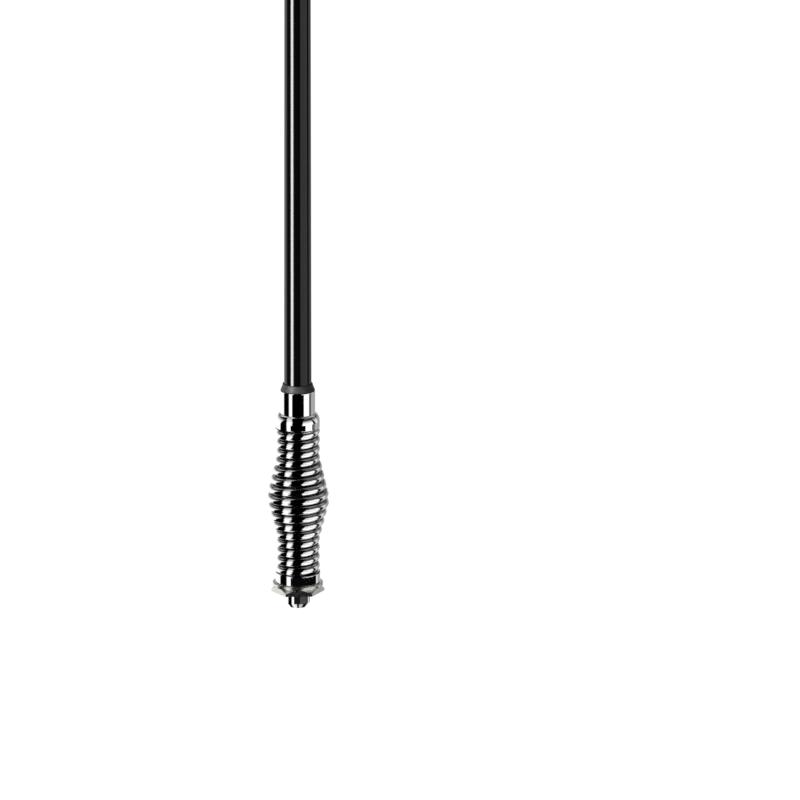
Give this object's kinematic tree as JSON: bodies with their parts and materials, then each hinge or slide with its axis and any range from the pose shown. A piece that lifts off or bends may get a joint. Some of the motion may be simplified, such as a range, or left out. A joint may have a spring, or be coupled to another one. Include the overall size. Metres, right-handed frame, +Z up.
{
  "type": "cb antenna",
  "caption": "Gloss black fibreglass whip antenna on a chromed barrel spring, with a hollow mounting stud, washer and lock nut below.",
  "frame": {"origin": "centre of the mounting stud's lower end", "axes": "+Z up along the whip, -Y towards the front"},
  "size_m": [0.0314, 0.0314, 0.62],
  "materials": {
    "chrome_plate": "bright polished chrome plate",
    "plated_steel": "satin nickel-plated steel, slightly warm",
    "gloss_black_glassfibre": "deep gloss black lacquer over glass fibre",
    "black_cap_plastic": "smooth black moulded plastic, semi-gloss",
    "black_rubber": "matte moulded rubber",
    "white_insulator": "white turned plastic",
    "brass": "turned brass",
    "copper": "drawn copper wire",
    "lead_jacket": "black cable jacket"
  },
  "bodies": {
    "base": {"lower_spring_plug": "chrome_plate", "stud_insulator": "white_insulator", "stud_contact": "brass", "lower_crimp_sleeve": "brass", "washer": "plated_steel"},
    "nut": {"lock_nut": "plated_steel"},
    "spring": {"barrel_spring": "chrome_plate", "feed_cable": "lead_jacket"},
    "whip": {"upper_spring_plug": "chrome_plate", "socket_insulator": "white_insulator", "socket_contact": "brass", "upper_crimp_sleeve": "brass", "whip_ferrule": "chrome_plate", "whip_insulator": "white_insulator", "whip_contact": "brass", "rubber_seal": "black_rubber", "whip_tube": "gloss_black_glassfibre", "radiator_wire": "copper", "coil_former": "white_insulator", "centring_bead_1": "white_insulator", "centring_bead_2": "white_insulator", "centring_bead_3": "white_insulator", "centring_bead_4": "white_insulator", "tip_cap": "black_cap_plastic"}
  },
  "joints": [
    {"name": "bend_front_back", "type": "hinge", "parent": "base", "child": "spring", "pos_m": [0, 0, 0.04321], "axis": [1, 0, 0], "range_deg": [-30, 30], "stiffness_Nm_per_rad": 6, "deforming": ["barrel_spring", "feed_cable"]},
    {"name": "bend_left_right", "type": "hinge", "parent": "spring", "child": "whip", "pos_m": [0, 0, 0.06763], "axis": [0, 1, 0], "range_deg": [-30, 30], "stiffness_Nm_per_rad": 6},
    {"name": "nut_turn", "type": "hinge", "parent": "base", "child": "nut", "pos_m": [0, 0, 0.00935], "axis": [0, 0, 1], "continuous": true}
  ]
}
